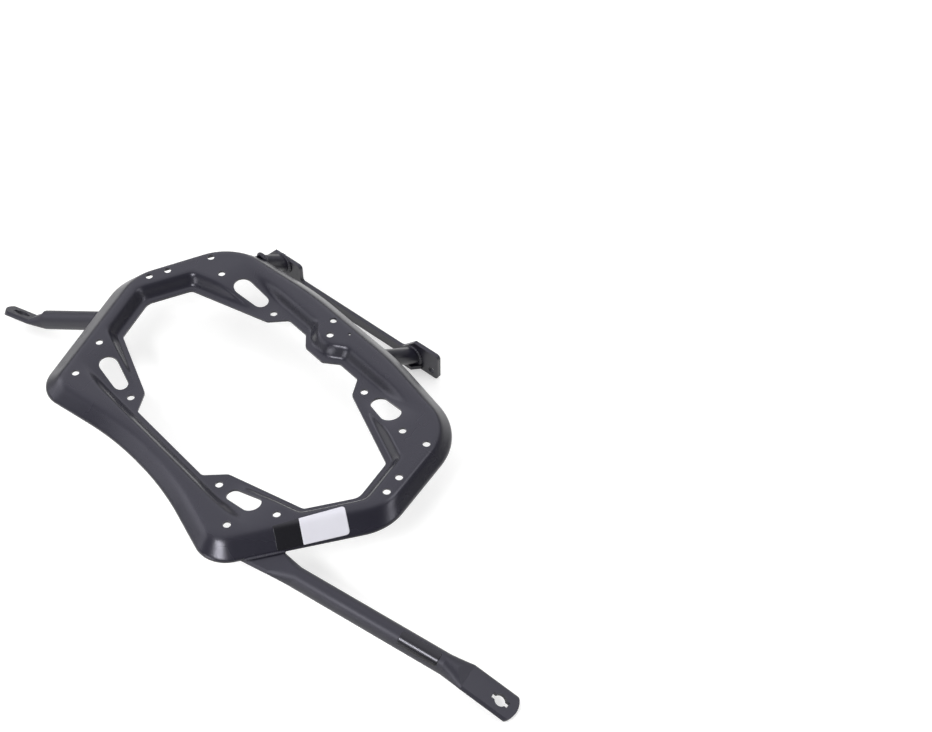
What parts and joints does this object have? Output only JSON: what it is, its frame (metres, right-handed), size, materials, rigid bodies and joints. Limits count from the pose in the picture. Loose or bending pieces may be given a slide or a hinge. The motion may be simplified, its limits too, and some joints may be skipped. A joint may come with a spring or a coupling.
{
  "type": "pannier frame",
  "caption": "Welded steel pannier frame for a motorbike: a pressed sheet ring with gussets carries the side case, on leg tubes with a foot plate and tube arms with keyed flat ends.",
  "frame": {"origin": "middle of the four case bolts, on top of the lip that the gussets end in", "axes": "+Z out of the flat of the ring, towards the case; +X along the ring towards the long arm; +Y towards the leg tubes and the foot plate"},
  "size_m": [0.6491, 0.3044, 0.061],
  "materials": {
    "powder_coat": "satin charcoal powder coat"
  },
  "bodies": {
    "root": {"ring_pressing": "powder_coat", "foot_plate": "powder_coat", "front_leg_tube": "powder_coat", "rear_leg_tube": "powder_coat", "front_arm": "powder_coat", "rear_arm": "powder_coat"}
  },
  "joints": []
}
